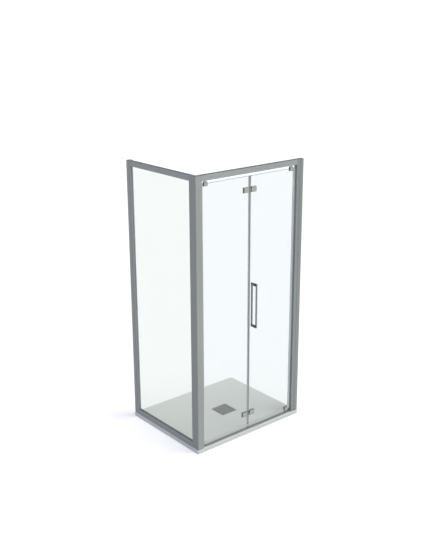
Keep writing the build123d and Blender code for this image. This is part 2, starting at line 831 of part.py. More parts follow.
def make_leaves():
    """Both leaves with their clamps, pins, hinges, seals and screws."""
    pin_low = clamp_top - pin_into_clamp
    boss_top = clamp_top + clamp_boss_rise
    grip = (leaf_top - clamp_bite, leaf_top)
    top_clamp = {
        "face": (grip[0], leaf_top + clamp_rise),
        "grip": grip,
        "block": (leaf_top + seat_gap, clamp_top),
        "boss": (clamp_top, boss_top),
        "bore": (pin_low, boss_top),
    }

    foot = leaf_bottom - foot_clamp_drop
    foot_boss = threshold_top + bush_flange + foot_clamp_gap
    foot_pin_high = foot + pin_into_foot
    foot_grip = (leaf_bottom, leaf_bottom + foot_clamp_bite)
    foot_clamp = {
        "face": (foot, foot_grip[1]),
        "grip": foot_grip,
        "block": (foot, leaf_bottom - seat_gap),
        "boss": (foot_boss, foot),
        "bore": (foot_boss, foot_pin_high),
    }

    pivot_screws = make_clamp("top_pivot_clamp", pivot_x, **top_clamp)
    pivot_screws += make_clamp("bottom_pivot_clamp", pivot_x, **foot_clamp)
    guide_screws = make_clamp("guide_clamp", guide_x, **top_clamp)
    make_glass_screws("pivot_clamp_screws", pivot_screws)
    make_glass_screws("guide_clamp_screws", guide_screws)
    make_pin("top_pivot_pin", pivot_x, pin_low, track_floor + pin_into_header)
    make_pin("bottom_pivot_pin", pivot_x, base + bush_floor, foot_pin_high)
    make_pin("guide_pin", guide_x, pin_low, track_floor + slider_height)

    sides = (("pivot", 1, pivot_screws), ("sliding", -1, guide_screws))
    glass_hole = clamp_screw_radius + glass_hole_play
    for leaf, side, clamp_screws in sides:
        hinge_screws = hinge_screw_places(side)
        make_hinge_plate(f"upper_hinge_{leaf}_plate", side, upper_hinge_z)
        make_hinge_plate(f"lower_hinge_{leaf}_plate", side, lower_hinge_z)
        make_hinge_backplates(f"{leaf}_hinge_backplates", side)
        make_glass_screws(f"{leaf}_hinge_screws", hinge_screws)
        make_fold_seal(f"{leaf}_fold_seal", side)
        if side > 0:
            make_leaf_glass("pivot_leaf_glass", pivot_leaf_left, pivot_leaf_right,
                            clamp_screws + hinge_screws, glass_hole, handle_places())
        else:
            make_leaf_glass("sliding_leaf_glass", sliding_leaf_left, sliding_leaf_right,
                            clamp_screws + hinge_screws, glass_hole)
    make_hinge_pin("upper_hinge_pin", upper_hinge_z)
    make_hinge_pin("lower_hinge_pin", lower_hinge_z)

    make_drip_seal("pivot_drip_seal", pivot_leaf_left + drip_clearance,
                   pivot_x - clamp_width / 2 - drip_clearance)
    make_drip_seal("sliding_drip_seal", sliding_leaf_left + seal_leg + drip_clearance,
                   sliding_leaf_right - drip_clearance)


os.makedirs("parts", exist_ok=True)
make_tray()
make_post()
make_side_panel()
make_door_jamb()
make_side_jamb()
make_header()
make_threshold()
make_leaves()
make_upright_seals()
make_handle()

print(len(pieces), "pieces")
print(f"Pivot {pivot_x}, {track_y}; fold {fold_x}, {fold_y}; guide {guide_x}, {track_y}")
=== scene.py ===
"""Looks of a corner shower enclosure: its finishes, seals, screws, handle and studio."""

import json
import logging
import math
from dataclasses import dataclass, field, replace
from enum import Enum
from functools import cache, partial, reduce
from typing import Any, Sequence

import bmesh
import bpy
from mathutils import Color, Euler, Matrix, Vector

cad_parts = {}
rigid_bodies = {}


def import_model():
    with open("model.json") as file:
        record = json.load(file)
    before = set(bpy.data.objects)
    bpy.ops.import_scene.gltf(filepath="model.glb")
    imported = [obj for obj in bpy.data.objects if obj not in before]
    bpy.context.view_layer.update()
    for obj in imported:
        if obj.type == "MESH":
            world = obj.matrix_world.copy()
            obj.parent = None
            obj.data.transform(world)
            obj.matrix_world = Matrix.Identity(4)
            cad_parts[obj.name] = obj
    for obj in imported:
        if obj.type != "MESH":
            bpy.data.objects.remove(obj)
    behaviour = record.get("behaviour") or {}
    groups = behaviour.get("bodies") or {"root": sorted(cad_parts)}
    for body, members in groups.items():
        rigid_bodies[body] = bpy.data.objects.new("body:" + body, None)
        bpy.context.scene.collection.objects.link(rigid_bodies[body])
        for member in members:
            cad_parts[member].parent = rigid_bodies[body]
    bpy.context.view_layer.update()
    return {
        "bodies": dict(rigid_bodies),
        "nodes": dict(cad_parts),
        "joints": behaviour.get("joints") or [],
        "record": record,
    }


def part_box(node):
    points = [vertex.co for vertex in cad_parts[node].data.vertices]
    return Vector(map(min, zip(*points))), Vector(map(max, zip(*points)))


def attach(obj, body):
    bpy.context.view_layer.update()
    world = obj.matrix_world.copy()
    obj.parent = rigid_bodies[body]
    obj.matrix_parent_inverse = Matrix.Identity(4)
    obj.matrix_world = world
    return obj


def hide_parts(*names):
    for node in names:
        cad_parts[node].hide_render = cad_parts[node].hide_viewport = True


MM = 0.001
FULL_COLOUR = 255
QUARTER_TURN = math.pi / 2
SORT_DIGITS = 4
SAME_POINT = 0.001 * MM
TONE_SPAN = (0.3, 0.7)
ROUGH_SPAN = (0.2, 0.8)
LIGHTING_RAYS = ("Shadow", "Diffuse")
LOOKING_RAYS = ("Camera", "Glossy", "Transmission")
log = logging.getLogger("shower_enclosure")

Colour = tuple[int, int, int]
Light = tuple[float, float, float, float]
Span = tuple[float, float]
Triple = tuple[float, float, float]
Corner = Triple
Outline = Sequence[tuple[float, float]]
Box = tuple[Vector, Vector]
Piece = bpy.types.Object
Socket = bpy.types.NodeSocket


class Axis(Enum):
    """A direction of the part: along the door, from front to back, or up."""

    X = 0
    Y = 1
    Z = 2

    @property
    def vector(self) -> Vector:
        """The axis as a unit vector."""
        return self.point(0.0, 0.0, 1.0)

    def point(self, first: float, second: float, along: float) -> Vector:
        """A point from its places on the two other axes, in their order, and on this one."""
        across = [first, second]
        return Vector(across[:self.value] + [along] + across[self.value:])


def linear(colour: Colour, share: float = 1.0) -> Light:
    """A colour as the eye sees it, in the shader's own numbers and with a share of its light."""
    light = Color([value / FULL_COLOUR for value in colour]).from_srgb_to_scene_linear() * share
    return (light.r, light.g, light.b, 1.0)


def linked(name: str, data: bpy.types.ID) -> Piece:
    """Puts a new object into the scene.

    Args:
        name: The object's name.
        data: Its mesh, camera or lamp.

    Returns:
        The object.
    """
    made = bpy.data.objects.new(name, data)
    bpy.context.scene.collection.objects.link(made)
    return made


def soften(piece: Piece, sharp: float) -> None:
    """Shades a piece softly up to an angle in degrees."""
    piece.data.shade_smooth()
    piece.data.set_sharp_from_angle(angle=math.radians(sharp))


class NodeBench:
    """Fills a node tree, one node at a time."""

    def __init__(self, tree: bpy.types.NodeTree) -> None:
        """Takes the tree of a material, the world or a modifier in hand and empties it."""
        self.tree = tree
        tree.nodes.clear()

    def node(self, kind: str, inputs: dict[Any, Any] | None = None, **settings: Any) -> bpy.types.Node:
        """Adds a node.

        Args:
            kind: The node's type.
            inputs: What goes into its sockets, by their names or numbers: a value or another socket.
            **settings: The node's own settings.

        Returns:
            The new node.
        """
        made = self.tree.nodes.new(kind)
        for name, value in settings.items():
            setattr(made, name, value)
        for key, value in (inputs or {}).items():
            if isinstance(value, Socket):
                self.tree.links.new(value, made.inputs[key])
            else:
                made.inputs[key].default_value = value
        return made

    def socket(self, kind: str, inputs: dict[Any, Any], output: int = 0, **settings: Any) -> Socket:
        """Adds a node in the same way, and gives one of its outputs."""
        return self.node(kind, inputs, **settings).outputs[output]

    def math(self, operation: str, *values: Any) -> Socket:
        """The result of one step of arithmetic on numbers or sockets."""
        return self.socket("ShaderNodeMath", dict(enumerate(values)), operation=operation)

    def times(self, first: Any, second: Any) -> Socket:
        """The product of two numbers or sockets."""
        return self.math("MULTIPLY", first, second)

    def blend(self, share: float, first: Any, second: Any) -> Socket:
        """Two values in one, with the share of the first."""
        return self.math("MULTIPLY_ADD", first, share, self.times(second, 1 - share))

    def mix(self, share: Any, first: Any, second: Any) -> Socket:
        """Two colours in a mix, with the share of the second."""
        return self.socket("ShaderNodeMix", {0: share, 6: first, 7: second}, 2, data_type="RGBA")

    def mix_shaders(self, share: Any, first: Socket, second: Socket) -> Socket:
        """Two shaders in a mix, with the share of the second."""
        return self.socket("ShaderNodeMixShader", {0: share, 1: first, 2: second})

    def principled(self, inputs: dict[str, Any]) -> Socket:
        """The common shader, with what goes into its sockets."""
        return self.socket("ShaderNodeBsdfPrincipled", inputs)

    def transparent(self, light: float) -> Socket:
        """A shader that lets a share of the light straight through."""
        return self.socket("ShaderNodeBsdfTransparent", {0: (light, light, light, 1.0)})

    def own(self, kind: str) -> Socket:
        """One kind of the surface's own coordinates."""
        return self.node("ShaderNodeTexCoord").outputs[kind]

    def parts(self, vector: Socket) -> Sequence[Socket]:
        """The X, Y and Z of a vector."""
        return self.node("ShaderNodeSeparateXYZ", {0: vector}).outputs

    def spread(self, value: Any, span: Span, result: Span = (0.0, 1.0)) -> Socket:
        """A value moved smoothly from one span to another."""
        inputs = dict(zip(("Value", "From Min", "From Max", "To Min", "To Max"), (value, *span, *result)))
        return self.socket("ShaderNodeMapRange", inputs, interpolation_type="SMOOTHSTEP")

    def noise(self, scales: Sequence[float], detail: float = 2.0) -> Socket:
        """Noise on the object, with so many grains in a metre along X, Y and Z and so many finer layers."""
        scaled = self.socket("ShaderNodeMapping", {"Vector": self.own("Object"), "Scale": scales})
        return self.socket("ShaderNodeTexNoise", {"Vector": scaled, "Scale": 1.0, "Detail": detail})

    def facing(self, axis: Axis, cosines: Span) -> Socket:
        """How squarely the surface looks along an axis, from 0 to 1 between two cosines."""
        cosine = self.math("ABSOLUTE", self.parts(self.own("Normal"))[axis.value])
        return self.spread(cosine, cosines)

    def rays(self, kinds: Sequence[str]) -> Socket:
        """1 for a ray of any of some kinds, and 0 for all others."""
        path = self.node("ShaderNodeLightPath").outputs
        return reduce(partial(self.math, "MAXIMUM"), [path[f"Is {kind} Ray"] for kind in kinds])


@dataclass(frozen=True)
class Finish:
    """What every finish has: a name, a colour, its roughness, and how far tone, gloss and relief go."""

    name: str
    colour: Colour
    roughness: float
    tone: float = 0.05
    rough_change: Span = (-0.05, 0.06)
    relief_depth: float = 0.03 * MM
    relief_share: float = 0.5

    @cache
    def material(self) -> bpy.types.Material:
        """The finish's material, made at its first use.

        Returns:
            The material.
        """
        made = bpy.data.materials.new(self.name)
        made.use_nodes = True
        bench = NodeBench(made.node_tree)
        bench.node("ShaderNodeOutputMaterial", {"Surface": self.surface(bench)})
        return made

    def surface(self, bench: NodeBench) -> Socket:
        """The output of the finish's shader, built in a tree."""
        raise NotImplementedError

    def toned(self, bench: NodeBench, share: Any) -> Socket:
        """The colour, darker where a share is low and lighter where it is high."""
        dark, pale = linear(self.colour, 1 - self.tone), linear(self.colour, 1 + self.tone)
        return bench.mix(bench.spread(share, TONE_SPAN), dark, pale)

    def rough(self, bench: NodeBench, share: Any) -> Socket:
        """The roughness, lower where a share is low and higher where it is high."""
        low, high = self.rough_change
        return bench.spread(share, ROUGH_SPAN, (self.roughness + low, self.roughness + high))

    def relief(self, bench: NodeBench, height: Any) -> Socket:
        """The normal, bent by a fine relief that is 0 to 1 high."""
        inputs = {"Strength": self.relief_share, "Distance": self.relief_depth, "Height": height}
        return bench.socket("ShaderNodeBump", inputs)


@dataclass(frozen=True)
class AnodisedAluminium(Finish):
    """Satin anodised profile, with the faint lines of the die along its length.

    Its flanks and its level faces carry painted shade: they are coloured darker than its front, as in the
    photograph.
    """

    rough_change: Span = (-0.04, 0.05)
    grain: Axis = Axis.Z
    metal: float = 0.1
    # Shares of the colour that paint shade on level faces and on flanks.
    painted_level_shade_share: float = 0.26
    painted_flank_shade_share: float = 0.88
    turned: Span = (0.5, 0.9)
    across: float = 1400.0
    along: float = 2.5
    cloud_scales: Triple = (2.2, 2.2, 0.9)
    cloud_share: float = 0.6
    matt_scale: float = 2600.0
    matt_share: float = 0.35

    def surface(self, bench: NodeBench) -> Socket:
        """Metal with die lines, a slow change of tone, a fine matt grain and painted shade on its flanks and
        level faces.

        Args:
            bench: The tree to build it in.

        Returns:
            The shader's output.
        """
        lines = bench.noise(self.grain.point(self.across, self.across, self.along))
        clouds = bench.noise(self.cloud_scales)
        matt = bench.noise([self.matt_scale] * 3, 1.0)
        satin = self.toned(bench, bench.blend(self.cloud_share, clouds, lines))
        # Painted shade: flanks (facing X) and level faces (facing Z) get darker copies of the colour.
        shaded_flank, level = linear(self.colour, self.painted_flank_shade_share), linear(self.colour, self.painted_level_shade_share)
        with_painted_flanks = bench.mix(bench.facing(Axis.X, self.turned), satin, shaded_flank)
        inputs = {
            "Base Color": bench.mix(bench.facing(Axis.Z, self.turned), with_painted_flanks, level),
            "Metallic": self.metal,
            "Specular IOR Level": 0.0,
            "Roughness": self.rough(bench, lines),
            "Normal": self.relief(bench, bench.blend(self.matt_share, matt, lines)),
        }
        return bench.principled(inputs)


@dataclass(frozen=True)
class SatinMetal(Finish):
    """Brushed metal whose sides and ends are plainer than its face and carry painted shade, a darker colour.
    """

    tone: float = 0.1
    relief_depth: float = 0.02 * MM
    relief_share: float = 0.4
    grain: Axis = Axis.X
    face: Axis = Axis.Y
    turned: Span = (0.35, 0.8)
    metal: float = 0.9
    painted_side_shade_share: float = 0.45
    brush: float = 3200.0
    along: float = 60.0

    def surface(self, bench: NodeBench) -> Socket:
        """Metal with brush strokes on its face, and painted shade on its edges.

        Args:
            bench: The tree to build it in.

        Returns:
            The shader's output.
        """
        strokes = bench.noise(self.grain.point(self.brush, self.brush, self.along))
        # Painted shade: sides and ends get a darker, plain copy of the colour.
        side = linear(self.colour, self.painted_side_shade_share)
        inputs = {
            "Base Color": bench.mix(bench.facing(self.face, self.turned), side, self.toned(bench, strokes)),
            "Metallic": self.metal,
            "Roughness": self.rough(bench, strokes),
            "Normal": self.relief(bench, strokes),
        }
        return bench.principled(inputs)


@dataclass(frozen=True)
class Moulded(Finish):
    """Moulded plastic or rubber with a fine spark-eroded grain."""

    rough_change: Span = (-0.05, 0.05)
    relief_share: float = 0.6
    grain_scale: float = 2400.0
    gloss: float = 0.4
    coat: float = 0.0
    coat_roughness: float = 0.25

    def surface(self, bench: NodeBench) -> Socket:
        """Plastic with a fine grain, and a thin clear coat if it has one.

        Args:
            bench: The tree to build it in.

        Returns:
            The shader's output.
        """
        grain = bench.noise([self.grain_scale] * 3)
        inputs = {
            "Base Color": self.toned(bench, self.cloudy(bench, grain)),
            "Roughness": self.rough(bench, grain),
            "Specular IOR Level": self.gloss,
            "Coat Weight": self.coat,
            "Coat Roughness": self.coat_roughness,
            "Normal": self.relief(bench, grain),
        }
        return bench.principled(inputs)

    def cloudy(self, bench: NodeBench, grain: Socket) -> Socket:
        """Where the tone is light: along the grain, in one without clouds."""
        return grain


@dataclass(frozen=True)
class CastResin(Moulded):
    """Matt cast resin of a tray: an even colour, a soft grain, faint clouds and a thin gel coat."""

    tone: float = 0.012
    rough_change: Span = (-0.05, 0.06)
    relief_depth: float = 0.05 * MM
    relief_share: float = 0.5
    grain_scale: float = 1100.0
    cloud_scale: float = 3.5
    cloud_share: float = 0.7
    gloss: float = 0.35
    coat: float = 0.06

    def cloudy(self, bench: NodeBench, grain: Socket) -> Socket:
        """Where the tone is light: in slow clouds, and a little along the grain."""
        return bench.blend(self.cloud_share, bench.noise([self.cloud_scale] * 3), grain)


@dataclass(frozen=True)
class ClearGlass(Finish):
    """Toughened glass: clear through its faces, tinted along its polished edges."""

    relief_depth: float = 0.01 * MM
    relief_share: float = 0.2
    face: Axis = Axis.Y
    turned: Span = (0.5, 0.8)
    edge_colour: Colour = (84, 112, 104)
    top: float = 2.0
    rim: float = 3.0 * MM
    shadow: float = 0.93
    bend: float = 1.5
    ripple_scales: Triple = (5.0, 5.0, 3.0)

    def surface(self, bench: NodeBench) -> Socket:
        """Glass with a long slow ripple that lets light through to what stands behind it.

        Args:
            bench: The tree to build it in.

        Returns:
            The shader's output.
        """
        height = bench.parts(bench.own("Object"))[Axis.Z.value]
        below = bench.spread(height, (self.top - self.rim, self.top - self.rim / 2), (1.0, 0.0))
        through = bench.times(bench.facing(self.face, self.turned), below)
        inputs = {
            "Base Color": bench.mix(through, linear(self.edge_colour), linear(self.colour)),
            "Roughness": self.roughness,
            "IOR": self.bend,
            "Transmission Weight": 1.0,
            "Normal": self.relief(bench, bench.noise(self.ripple_scales, 1.0)),
        }
        clear = bench.transparent(self.shadow)
        return bench.mix_shaders(bench.rays(LIGHTING_RAYS), bench.principled(inputs), clear)


@dataclass(frozen=True)
class ClearSeal(Finish):
    """Extruded clear PVC: milky, soft, with fine drawing lines along its length."""

    tone: float = 0.04
    grain: Axis = Axis.Z
    across: float = 2200.0
    along: float = 3.0
    clarity: float = 0.3
    bend: float = 1.45

    def surface(self, bench: NodeBench) -> Socket:
        """Milky plastic that lets a part of the light through.

        Args:
            bench: The tree to build it in.

        Returns:
            The shader's output.
        """
        lines = bench.noise(self.grain.point(self.across, self.across, self.along))
        inputs = {
            "Base Color": self.toned(bench, lines),
            "Roughness": self.roughness,
            "IOR": self.bend,
            "Transmission Weight": self.clarity,
            "Normal": self.relief(bench, lines),
        }
        share = bench.times(bench.rays(LIGHTING_RAYS), self.clarity)
        return bench.mix_shaders(share, bench.principled(inputs), bench.transparent(1.0))


@dataclass(frozen=True)
class PaleFloor(Finish):
    """A matt floor that looks a little lighter than the light it gives back."""

    lift: float = 0.3

    def surface(self, bench: NodeBench) -> Socket:
        """A matt surface, lifted where it is looked at.

        Args:
            bench: The tree to build it in.

        Returns:
            The shader's output.
        """
        surface = {"Color": linear(self.colour), "Roughness": self.roughness}
        matt = bench.socket("ShaderNodeBsdfDiffuse", surface)
        glow = {"Strength": bench.times(bench.rays(LOOKING_RAYS), self.lift)}
        lift = bench.socket("ShaderNodeEmission", glow)
        return bench.socket("ShaderNodeAddShader", {0: matt, 1: lift})


def aluminium(grain: Axis) -> AnodisedAluminium:
    """The frame's finish, with its die lines along one axis."""
    return AnodisedAluminium(f"frame_aluminium_{grain.name.lower()}", (167, 171, 167), 0.42, grain=grain)


TRAY_RESIN = CastResin("cast_tray_resin", (206, 209, 203), 0.5)
DOOR_GLASS = ClearGlass("door_glass", (233, 237, 235), 0.0)
SIDE_GLASS = ClearGlass("side_glass", (233, 237, 232), 0.0, face=Axis.X)
# Painted shade: the post's flanks are coloured darker than the other profiles' flanks.
POST_ALUMINIUM = AnodisedAluminium("post_aluminium", (165, 169, 163), 0.42, painted_flank_shade_share=0.8)
# Painted shade: the door jamb and its wall channel are a darker copy of the frame's aluminium, for the
# wall's shade.
SHADED_WALL_ALUMINIUM = AnodisedAluminium("shaded_wall_profile_aluminium", (151, 156, 152), 0.42)
# Painted shade: the threshold is a darker copy of the frame's aluminium, for the shade it lies in.
SHADED_SILL_ALUMINIUM = AnodisedAluminium("shaded_sill_aluminium", (152, 157, 155), 0.45, grain=Axis.X, painted_level_shade_share=0.6)
END_CAP = Moulded("moulded_cap", (84, 90, 92), 0.5)
# Each steel below has painted shade on its sides and ends.
HARDWARE = SatinMetal("hinge_metal", (162, 166, 160), 0.3, painted_side_shade_share=0.42)
GRIP_STEEL = SatinMetal(
    "grip_steel", (149, 153, 146), 0.27, grain=Axis.Z, along=25.0, painted_side_shade_share=0.38, tone=0.04
)
# Painted shade: the inner bar is a much darker copy of the grip's steel, for its shade behind the glass.
SHADED_INNER_STEEL = SatinMetal("shaded_inner_bar_steel", (82, 86, 83), 0.3, grain=Axis.Z, along=25.0, painted_side_shade_share=0.6)
DRAIN_STEEL = SatinMetal("cover_steel", (103, 105, 101), 0.45, face=Axis.Z, metal=0.75, painted_side_shade_share=0.6)
SCREW_STEEL = SatinMetal("bright_screw_steel", (178, 180, 180), 0.22, painted_side_shade_share=0.8, along=800.0)
UPRIGHT_SEAL = ClearSeal("clear_seal_upright", (226, 230, 228), 0.35)
LEVEL_SEAL = ClearSeal("clear_seal_level", (225, 228, 223), 0.35, grain=Axis.X)
FOLD_SEAL = Moulded("fold_seal_core", (147, 149, 144), 0.5)
GASKET_RUBBER = Moulded("glazing_rubber", (152, 156, 155), 0.6, gloss=0.3)
NYLON = Moulded("natural_nylon", (216, 215, 207), 0.45)
STUDIO_FLOOR = PaleFloor("studio_floor", (224, 224, 224), 0.0)


class Shape:
    """A closed mesh in the making."""

    def __init__(self) -> None:
        """Starts with no faces."""
        self.mesh = bmesh.new()

    def ring(self, outline: Outline, axis: Axis, along: float) -> list[bmesh.types.BMVert]:
        """Adds an outline's points at one place along an axis."""
        return [self.mesh.verts.new(axis.point(first, second, along)) for first, second in outline]

    def prism(self, outline: Outline, axis: Axis, low: float, high: float, slot: int = 0) -> None:
        """Adds a bar with one outline from a low end to a high one, in a material slot."""
        self.tube([self.ring(outline, axis, end) for end in (low, high)], slot)

    def tube(self, rings: Sequence[Sequence[bmesh.types.BMVert]], slot: int = 0) -> None:
        """Joins rings of points into one closed tube with flat ends.

        Args:
            rings: The rings, each with as many points.
            slot: The material slot of the tube's faces.
        """
        faces = [self.mesh.faces.new(rings[0]), self.mesh.faces.new(rings[-1])]
        for near, far in zip(rings, rings[1:]):
            for place in range(len(near)):
                faces.append(self.mesh.faces.new((near[place - 1], near[place], far[place], far[place - 1])))
        for face in faces:
            face.material_index = slot

    def finish(self, name: str, sharp: float = 30.0) -> Piece:
        """Turns the shape into an object with outward faces and soft shading.

        Args:
            name: The object's name.
            sharp: The angle, in degrees, past which an edge stays sharp.

        Returns:
            The object, at the origin.
        """
        bmesh.ops.recalc_face_normals(self.mesh, faces=self.mesh.faces)
        mesh = bpy.data.meshes.new(name)
        self.mesh.to_mesh(mesh)
        self.mesh.free()
        made = linked(name, mesh)
        soften(made, sharp)
        return made


def rounded(corners: Sequence[Corner], steps: int = 4) -> Outline:
    """An outline whose corners are arcs.

    Args:
        corners: Each corner's two places and its radius, in order.
        steps: How many edges each arc has.

    Returns:
        The outline's points.
    """
    outline = []
    for place, (first, second, radius) in enumerate(corners):
        corner = Vector((first, second))
        if radius <= 0:
            outline.append((first, second))
            continue
        before = (Vector(corners[place - 1][:2]) - corner).normalized()
        after = (Vector(corners[(place + 1) % len(corners)][:2]) - corner).normalized()
        half = before.angle(after) / 2
        centre = corner + (before + after).normalized() * (radius / math.sin(half))
        start = corner + before * (radius / math.tan(half)) - centre
        turn = start.angle_signed(corner + after * (radius / math.tan(half)) - centre)
        for step in range(steps + 1):
            arm = start.copy()
            arm.rotate(Matrix.Rotation(-turn * step / steps, 2))
            outline.append(tuple(centre + arm))
    return outline


def mirrored(half: Sequence[Corner], middle: float, place: int = 1) -> list[Corner]:
    """A whole outline: its front half, then that half mirrored in one of its two places."""
    moved = [[2 * middle - value if which == place else value for which, value in enumerate(corner)]
             for corner in reversed(half)]
    return [*half, *map(tuple, moved)]


def rectangle(low: Vector, high: Vector, radius: float) -> list[Corner]:
    """The corners of a box seen from above, each with one radius."""
    sides = ((low.x, low.y), (high.x, low.y), (high.x, high.y), (low.x, high.y))
    return [(x, y, radius) for x, y in sides]


def solid_boxes(node: Piece) -> list[Box]:
    """The boxes of a node's separate solids.

    Args:
        node: The node's object.

    Returns:
        Each solid's lowest and highest corners, the lowest solids first.
    """
    work = bmesh.new()
    work.from_mesh(node.data)
    bmesh.ops.remove_doubles(work, verts=work.verts, dist=SAME_POINT)
    left = set(work.verts)
    boxes = []
    while left:
        group, reached = set(), [left.pop()]
        while reached:
            vertex = reached.pop()
            group.add(vertex)
            fresh = {edge.other_vert(vertex) for edge in vertex.link_edges} & left
            left -= fresh
            reached.extend(fresh)
        low, high = (Vector([end(v.co[axis.value] for v in group) for axis in Axis]) for end in (min, max))
        boxes.append((low, high))
    work.free()
    return sorted(boxes, key=lambda box: [round(box[0][place], SORT_DIGITS) for place in (2, 0, 1)])


class PointTree:
    """A geometry node tree that sets one small thing at each point it is given."""

    sharp: float = 35.0

    def __init__(self, name: str, inputs: dict[str, str]) -> None:
        """Starts the tree and its inputs.

        Args:
            name: The tree's name.
            inputs: The kind of each input of its own, by its name.
        """
        self.tree = bpy.data.node_groups.new(name, "GeometryNodeTree")
        self.bench = NodeBench(self.tree)
        face = self.tree.interface
        kinds = {"Points": "Geometry", **inputs, "Direction": "Vector", "Material": "Material"}
        for label, kind in kinds.items():
            face.new_socket(label, in_out="INPUT", socket_type="NodeSocket" + kind)
        self.sockets = {item.name: item.identifier for item in face.items_tree}
        face.new_socket("Geometry", in_out="OUTPUT", socket_type="NodeSocketGeometry")
        self.given = self.bench.node("NodeGroupInput").outputs

    def close(self, thing: Socket, spin: Any) -> None:
        """Ends the tree: the thing stands at every point, turned and made real.

        Args:
            thing: The small thing, which looks along Z.
            spin: How far it is turned about its own axis, in radians.
        """
        bench, given = self.bench, self.given
        own_axis = tuple(Axis.Z.vector)
        aimed = bench.socket("FunctionNodeAlignRotationToVector", {"Vector": given["Direction"]}, axis="Z")
        turned = bench.socket("FunctionNodeAxisAngleToRotation", {"Axis": own_axis, "Angle": spin})
        turns = {"Rotation": aimed, "Rotate By": turned}
        facing = bench.socket("FunctionNodeRotateRotation", turns, rotation_space="LOCAL")
        places = {"Points": given["Points"], "Instance": thing, "Rotation": facing}
        placed = bench.socket("GeometryNodeInstanceOnPoints", places)
        real = bench.socket("GeometryNodeRealizeInstances", {"Geometry": placed})
        dress = {"Geometry": real, "Material": given["Material"]}
        dressed = bench.socket("GeometryNodeSetMaterial", dress)
        bench.node("NodeGroupOutput", {"Geometry": dressed})

    def make(self, name: str, points: Sequence[Vector], finish: Finish, **values: Any) -> Piece:
        """Sets the thing at some points and keeps the result as a plain mesh.

        Args:
            name: The new piece's name.
            points: Where the thing goes.
            finish: Its finish.
            **values: What the named inputs get, with underscores for spaces.

        Returns:
            The piece, at the origin.
        """
        seeds = bpy.data.meshes.new(name + "_points")
        seeds.from_pydata([tuple(point) for point in points], [], [])
        holder = linked(name + "_points", seeds)
        modifier = holder.modifiers.new("set", "NODES")
        modifier.node_group = self.tree
        for label, value in {**values, "Material": finish.material()}.items():
            modifier[self.sockets[label.replace("_", " ")]] = value
        graph = bpy.context.evaluated_depsgraph_get()
        mesh = bpy.data.meshes.new_from_object(holder.evaluated_get(graph))
        bpy.data.objects.remove(holder)
        bpy.data.meshes.remove(seeds)
        mesh.name = name
        piece = linked(name, mesh)
        soften(piece, self.sharp)
        return piece


class ScrewTree(PointTree):
    """Screws with a domed head, a hexagon recess and a plain shank."""

    head_sides: int = 36
    head_rings: int = 5
    shank_sides: int = 20
    recess_sides: int = 6
    recess_share: float = 0.48
    dome_power: float = 2.5
    dome_share: float = 0.6
    recess_lift_share: float = 0.9

    def __init__(self) -> None:
        """Builds the tree."""
        sizes = ("Head Radius", "Head Height", "Shank Radius", "Shank Length")
        super().__init__("screws", {**dict.fromkeys(sizes, "Float"), "Seed": "Int"})
        bench, given = self.bench, self.given
        radius, height, length = given["Head Radius"], given["Head Height"], given["Shank Length"]
        seated = self.lifted(self.dome(), bench.times(height, 0.5))
        hollow = self.cylinder(self.recess_sides, bench.times(radius, self.recess_share), height)
        sunk = self.lifted(hollow, bench.times(height, self.recess_lift_share))
        cut = {"Mesh 1": seated, "Mesh 2": sunk}
        head = bench.socket("GeometryNodeMeshBoolean", cut, operation="DIFFERENCE")
        shank = self.cylinder(self.shank_sides, given["Shank Radius"], length)
        whole = bench.node("GeometryNodeJoinGeometry")
        for part in (head, self.lifted(shank, bench.times(length, -0.5))):
            self.tree.links.new(part, whole.inputs[0])
        turns = {2: 0.0, 3: math.pi, "Seed": given["Seed"]}
        spin = bench.socket("FunctionNodeRandomValue", turns, 1, data_type="FLOAT")
        self.close(whole.outputs[0], spin)

    def cylinder(self, sides: int, radius: Any, height: Any, rings: int = 1) -> Socket:
        """A mesh cylinder about Z, with rings of faces at its ends."""
        sizes = {"Vertices": sides, "Fill Segments": rings, "Radius": radius, "Depth": height}
        return self.bench.socket("GeometryNodeMeshCylinder", sizes)

    def dome(self) -> Socket:
        """A head without its recess: a disc whose upper face falls away towards its rim.

        Returns:
            The disc, with its middle at the origin.
        """
        bench, radius, height = self.bench, self.given["Head Radius"], self.given["Head Height"]
        x, y, z = bench.parts(bench.socket("GeometryNodeInputPosition", {}))
        out = bench.math("SQRT", bench.math("MULTIPLY_ADD", x, x, bench.times(y, y)))
        share = bench.math("POWER", bench.math("DIVIDE", out, radius), self.dome_power)
        drop = bench.times(bench.times(share, height), -self.dome_share)
        upper = bench.math("GREATER_THAN", z, 0.0)
        fall = bench.socket("ShaderNodeCombineXYZ", {2: bench.times(drop, upper)})
        disc = self.cylinder(self.head_sides, radius, height, self.head_rings)
        return bench.socket("GeometryNodeSetPosition", {"Geometry": disc, "Offset": fall})

    def lifted(self, mesh: Socket, height: Any) -> Socket:
        """A mesh moved along Z by a height."""
        shift = self.bench.socket("ShaderNodeCombineXYZ", {2: height})
        return self.bench.socket("GeometryNodeTransform", {"Geometry": mesh, "Translation": shift})


class WasherTree(PointTree):
    """Flat washers with rounded edges."""

    sides: int = 40
    edge_share: float = 0.25
    edge_steps: int = 3

    def __init__(self) -> None:
        """Builds the tree."""
        sizes = ("Outer Radius", "Hole Radius", "Thickness")
        super().__init__("washers", dict.fromkeys(sizes, "Float"))
        bench = self.bench
        outer, hole, thickness = (self.given[size] for size in sizes)
        middle = bench.times(bench.math("ADD", outer, hole), 0.5)
        circle = {"Resolution": self.sides, "Radius": middle}
        ring = bench.socket("GeometryNodeCurvePrimitiveCircle", circle)
        flat = {"Width": bench.math("SUBTRACT", outer, hole), "Height": thickness}
        section = bench.socket("GeometryNodeCurvePrimitiveQuadrilateral", flat)
        radius = bench.times(thickness, self.edge_share)
        edge = {"Curve": section, "Radius": radius, "Count": self.edge_steps}
        soft = bench.socket("GeometryNodeFilletCurve", edge, mode="POLY")
        washer = bench.socket("GeometryNodeCurveToMesh", {"Curve": ring, "Profile Curve": soft})
        self.close(washer, 0.0)


